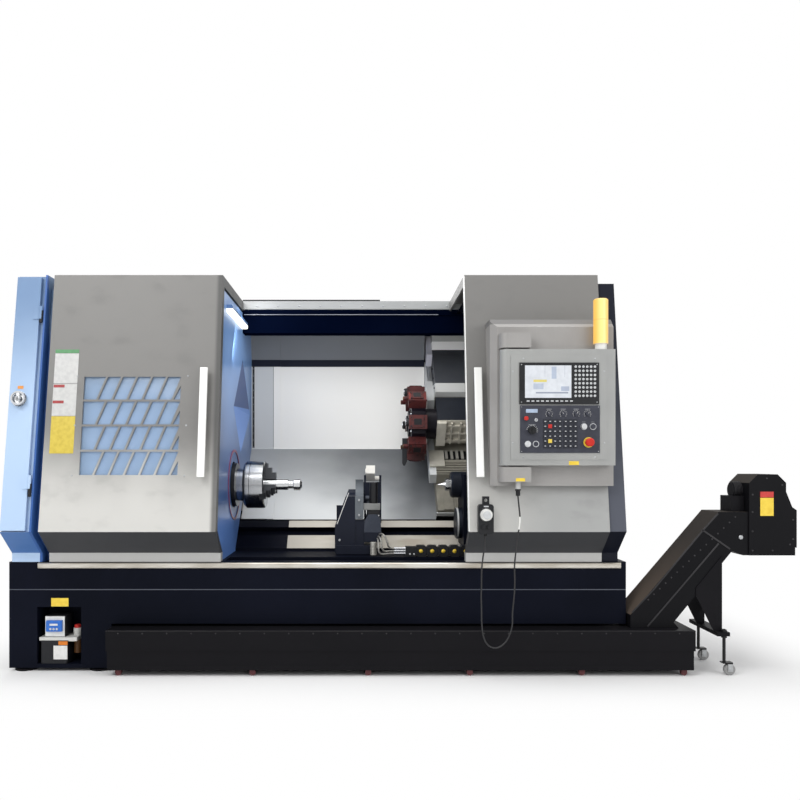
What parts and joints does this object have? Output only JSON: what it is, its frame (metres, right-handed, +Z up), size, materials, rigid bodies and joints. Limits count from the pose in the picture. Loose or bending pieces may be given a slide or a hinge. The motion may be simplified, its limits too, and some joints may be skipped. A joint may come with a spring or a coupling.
{
  "type": "slant-bed turning lathe",
  "caption": "Slant-bed turning lathe with sliding doors, spindle chuck, tool turret, steady rest, tailstock, swinging control box, coolant tank and rising chip conveyor.",
  "frame": {"origin": "on the floor, under the middle of the whole machine", "axes": "+X right along the spindle, towards the chip conveyor; +Y from the operator to the back; +Z up"},
  "size_m": [4.11, 1.936, 2.117],
  "materials": {
    "navy_paint": "semi-gloss",
    "blue_paint": "semi-gloss",
    "grey_paint": "satin, brushed look",
    "black_paint": "satin",
    "cream_steel": "satin",
    "bare_steel": "ground",
    "bright_steel": "polished",
    "casting": "machined and painted",
    "dark_casting": "painted",
    "light_plate": "satin",
    "pane": "clear",
    "grey_box": "fine texture",
    "screen_unit": "gloss",
    "key_panel": "fine texture",
    "black_plastic": "fine texture",
    "red_plastic": "gloss",
    "lamp_plastic": "gloss",
    "lamp_cover": "frosted",
    "black_rubber": "matt",
    "pump_grey": "satin"
  },
  "bodies": {
    "frame": {"base": "navy_paint", "bed": "dark_casting", "levelling_feet": "bare_steel", "cabinet_shell": "blue_paint", "end_cover_right": "navy_paint", "front_cover_left": "blue_paint", "front_cover_right": "navy_paint", "rear_cover": "navy_paint", "top_beam": "navy_paint", "top_rail": "black_paint", "sill_rail": "cream_steel", "headstock_wall": "blue_paint", "chip_guard": "light_plate", "work_light": "lamp_cover", "headstock": "casting", "lube_unit": "pump_grey", "coolant_tank": "black_paint", "conveyor_body": "black_paint", "conveyor_head": "black_paint", "conveyor_motor": "black_paint", "conveyor_leg": "black_paint", "drag_chain": "black_plastic"},
    "cabinet_leaf": {"cabinet_door": "blue_paint"},
    "round_lock": {"cabinet_lock": "bare_steel"},
    "door_left": {"left_door": "grey_paint", "left_window": "pane", "left_handle": "bare_steel"},
    "door_right": {"right_door": "grey_paint", "right_handle": "bare_steel", "panel_mount": "grey_paint", "pendant_cable": "black_rubber", "pendant_body": "black_plastic"},
    "wheel": {"handwheel": "bare_steel"},
    "panel_box": {"control_box": "grey_box", "display_unit": "screen_unit", "operator_panel": "key_panel", "signal_lamp": "lamp_plastic"},
    "knob": {"mode_knob": "black_plastic"},
    "stop_button": {"estop_button": "red_plastic"},
    "work_spindle": {"spindle": "bare_steel", "chuck_body": "bare_steel", "chuck_arbor": "bright_steel"},
    "chuck_jaw_1": {"jaw_1": "bare_steel"},
    "chuck_jaw_2": {"jaw_2": "bare_steel"},
    "chuck_jaw_3": {"jaw_3": "bare_steel"},
    "saddle": {"carriage": "dark_casting", "carriage_guard": "light_plate"},
    "slope_slide": {"cross_slide": "dark_casting"},
    "turret": {"turret_head": "light_plate"},
    "tool_turret": {"tool_disc": "bare_steel", "tool_holders": "dark_casting"},
    "steady": {"steady_base": "dark_casting"},
    "arm_upper": {"steady_arm_upper": "light_plate"},
    "arm_lower": {"steady_arm_lower": "light_plate"},
    "tail": {"tailstock": "dark_casting"},
    "tail_quill": {"quill": "bright_steel"},
    "fork_1": {"caster_fork_1": "bare_steel"},
    "fork_2": {"caster_fork_2": "bare_steel"},
    "caster_1": {"caster_wheel_1": "black_rubber"},
    "caster_2": {"caster_wheel_2": "black_rubber"}
  },
  "joints": [
    {"name": "left_door_slide", "type": "slide", "parent": "frame", "child": "door_left", "axis": [1, 0, 0], "range_m": [0, 0.7]},
    {"name": "right_door_slide", "type": "slide", "parent": "frame", "child": "door_right", "axis": [-1, 0, 0], "range_m": [0, 0.585]},
    {"name": "panel_swing", "type": "hinge", "parent": "door_right", "child": "panel_box", "pos_m": [0.524, -0.89, 1.37], "axis": [0, 0, -1], "range_deg": [0, 90]},
    {"name": "cabinet_door_swing", "type": "hinge", "parent": "frame", "child": "cabinet_leaf", "pos_m": [-1.902, -0.73273, 1.43751], "axis": [0, 0.1532, 0.9882], "range_deg": [0, 110]},
    {"name": "cabinet_lock_turn", "type": "hinge", "parent": "cabinet_leaf", "child": "round_lock", "pos_m": [-1.984, -0.73525, 1.42778], "axis": [0, -0.9882, 0.1532], "range_deg": [0, 90]},
    {"name": "spindle_spin", "type": "hinge", "parent": "frame", "child": "work_spindle", "pos_m": [-1.3, -0.24, 0.968], "axis": [1, 0, 0], "continuous": true},
    {"name": "jaw_1_slide", "type": "slide", "parent": "work_spindle", "child": "chuck_jaw_1", "axis": [0, 0, 1], "range_m": [0, 0.012]},
    {"name": "jaw_2_slide", "type": "slide", "parent": "work_spindle", "child": "chuck_jaw_2", "axis": [0, -0.866, -0.5], "range_m": [0, 0.012]},
    {"name": "jaw_3_slide", "type": "slide", "parent": "work_spindle", "child": "chuck_jaw_3", "axis": [0, 0.866, -0.5], "range_m": [0, 0.012]},
    {"name": "carriage_slide", "type": "slide", "parent": "frame", "child": "saddle", "axis": [-1, 0, 0], "range_m": [-0.1, 0.56]},
    {"name": "cross_travel", "type": "slide", "parent": "saddle", "child": "slope_slide", "axis": [0, 0.7071, 0.7071], "range_m": [-0.25, 0.05]},
    {"name": "turret_travel", "type": "slide", "parent": "slope_slide", "child": "turret", "axis": [0, -0.7071, 0.7071], "range_m": [-0.05, 0.05]},
    {"name": "turret_index", "type": "hinge", "parent": "turret", "child": "tool_turret", "pos_m": [0.2, 0.13477, 1.34277], "axis": [1, 0, 0], "continuous": true},
    {"name": "steady_slide", "type": "slide", "parent": "frame", "child": "steady", "axis": [-1, 0, 0], "range_m": [-0.05, 0.3]},
    {"name": "steady_arm_upper_close", "type": "hinge", "parent": "steady", "child": "arm_upper", "pos_m": [-0.14, -0.159, 1.002], "axis": [1, 0, 0], "range_deg": [0, 20]},
    {"name": "steady_arm_lower_close", "type": "hinge", "parent": "steady", "child": "arm_lower", "pos_m": [-0.14, -0.159, 0.763], "axis": [-1, 0, 0], "range_deg": [0, 20]},
    {"name": "tailstock_slide", "type": "slide", "parent": "frame", "child": "tail", "axis": [-1, 0, 0], "range_m": [-0.1, 0.3]},
    {"name": "quill_slide", "type": "slide", "parent": "tail", "child": "tail_quill", "axis": [-1, 0, 0], "range_m": [0, 0.12]},
    {"name": "mode_knob_turn", "type": "hinge", "parent": "panel_box", "child": "knob", "pos_m": [0.641, -0.94, 1.256], "axis": [0, -1, 0], "range_deg": [-60, 60]},
    {"name": "estop_press", "type": "slide", "parent": "panel_box", "child": "stop_button", "axis": [0, 1, 0], "range_m": [0, 0.005], "stiffness_N_per_m": 800, "springref_m": -0.002},
    {"name": "handwheel_spin", "type": "hinge", "parent": "door_right", "child": "wheel", "pos_m": [0.423, -0.895, 0.835], "axis": [0, -1, 0], "continuous": true},
    {"name": "caster_swivel_1", "type": "hinge", "parent": "frame", "child": "fork_1", "pos_m": [1.671, -0.762, 0.15], "axis": [0, 0, 1], "continuous": true},
    {"name": "caster_spin_1", "type": "hinge", "parent": "fork_1", "child": "caster_1", "pos_m": [1.697, -0.762, 0.029], "axis": [0, 1, 0], "continuous": true},
    {"name": "caster_swivel_2", "type": "hinge", "parent": "frame", "child": "fork_2", "pos_m": [1.671, -0.458, 0.15], "axis": [0, 0, 1], "continuous": true},
    {"name": "caster_spin_2", "type": "hinge", "parent": "fork_2", "child": "caster_2", "pos_m": [1.697, -0.458, 0.029], "axis": [0, 1, 0], "continuous": true}
  ],
  "couplings": [
    {"joint": "jaw_2_slide", "follows": "jaw_1_slide", "ratio": 1},
    {"joint": "jaw_3_slide", "follows": "jaw_1_slide", "ratio": 1},
    {"joint": "steady_arm_lower_close", "follows": "steady_arm_upper_close", "ratio": 1}
  ]
}
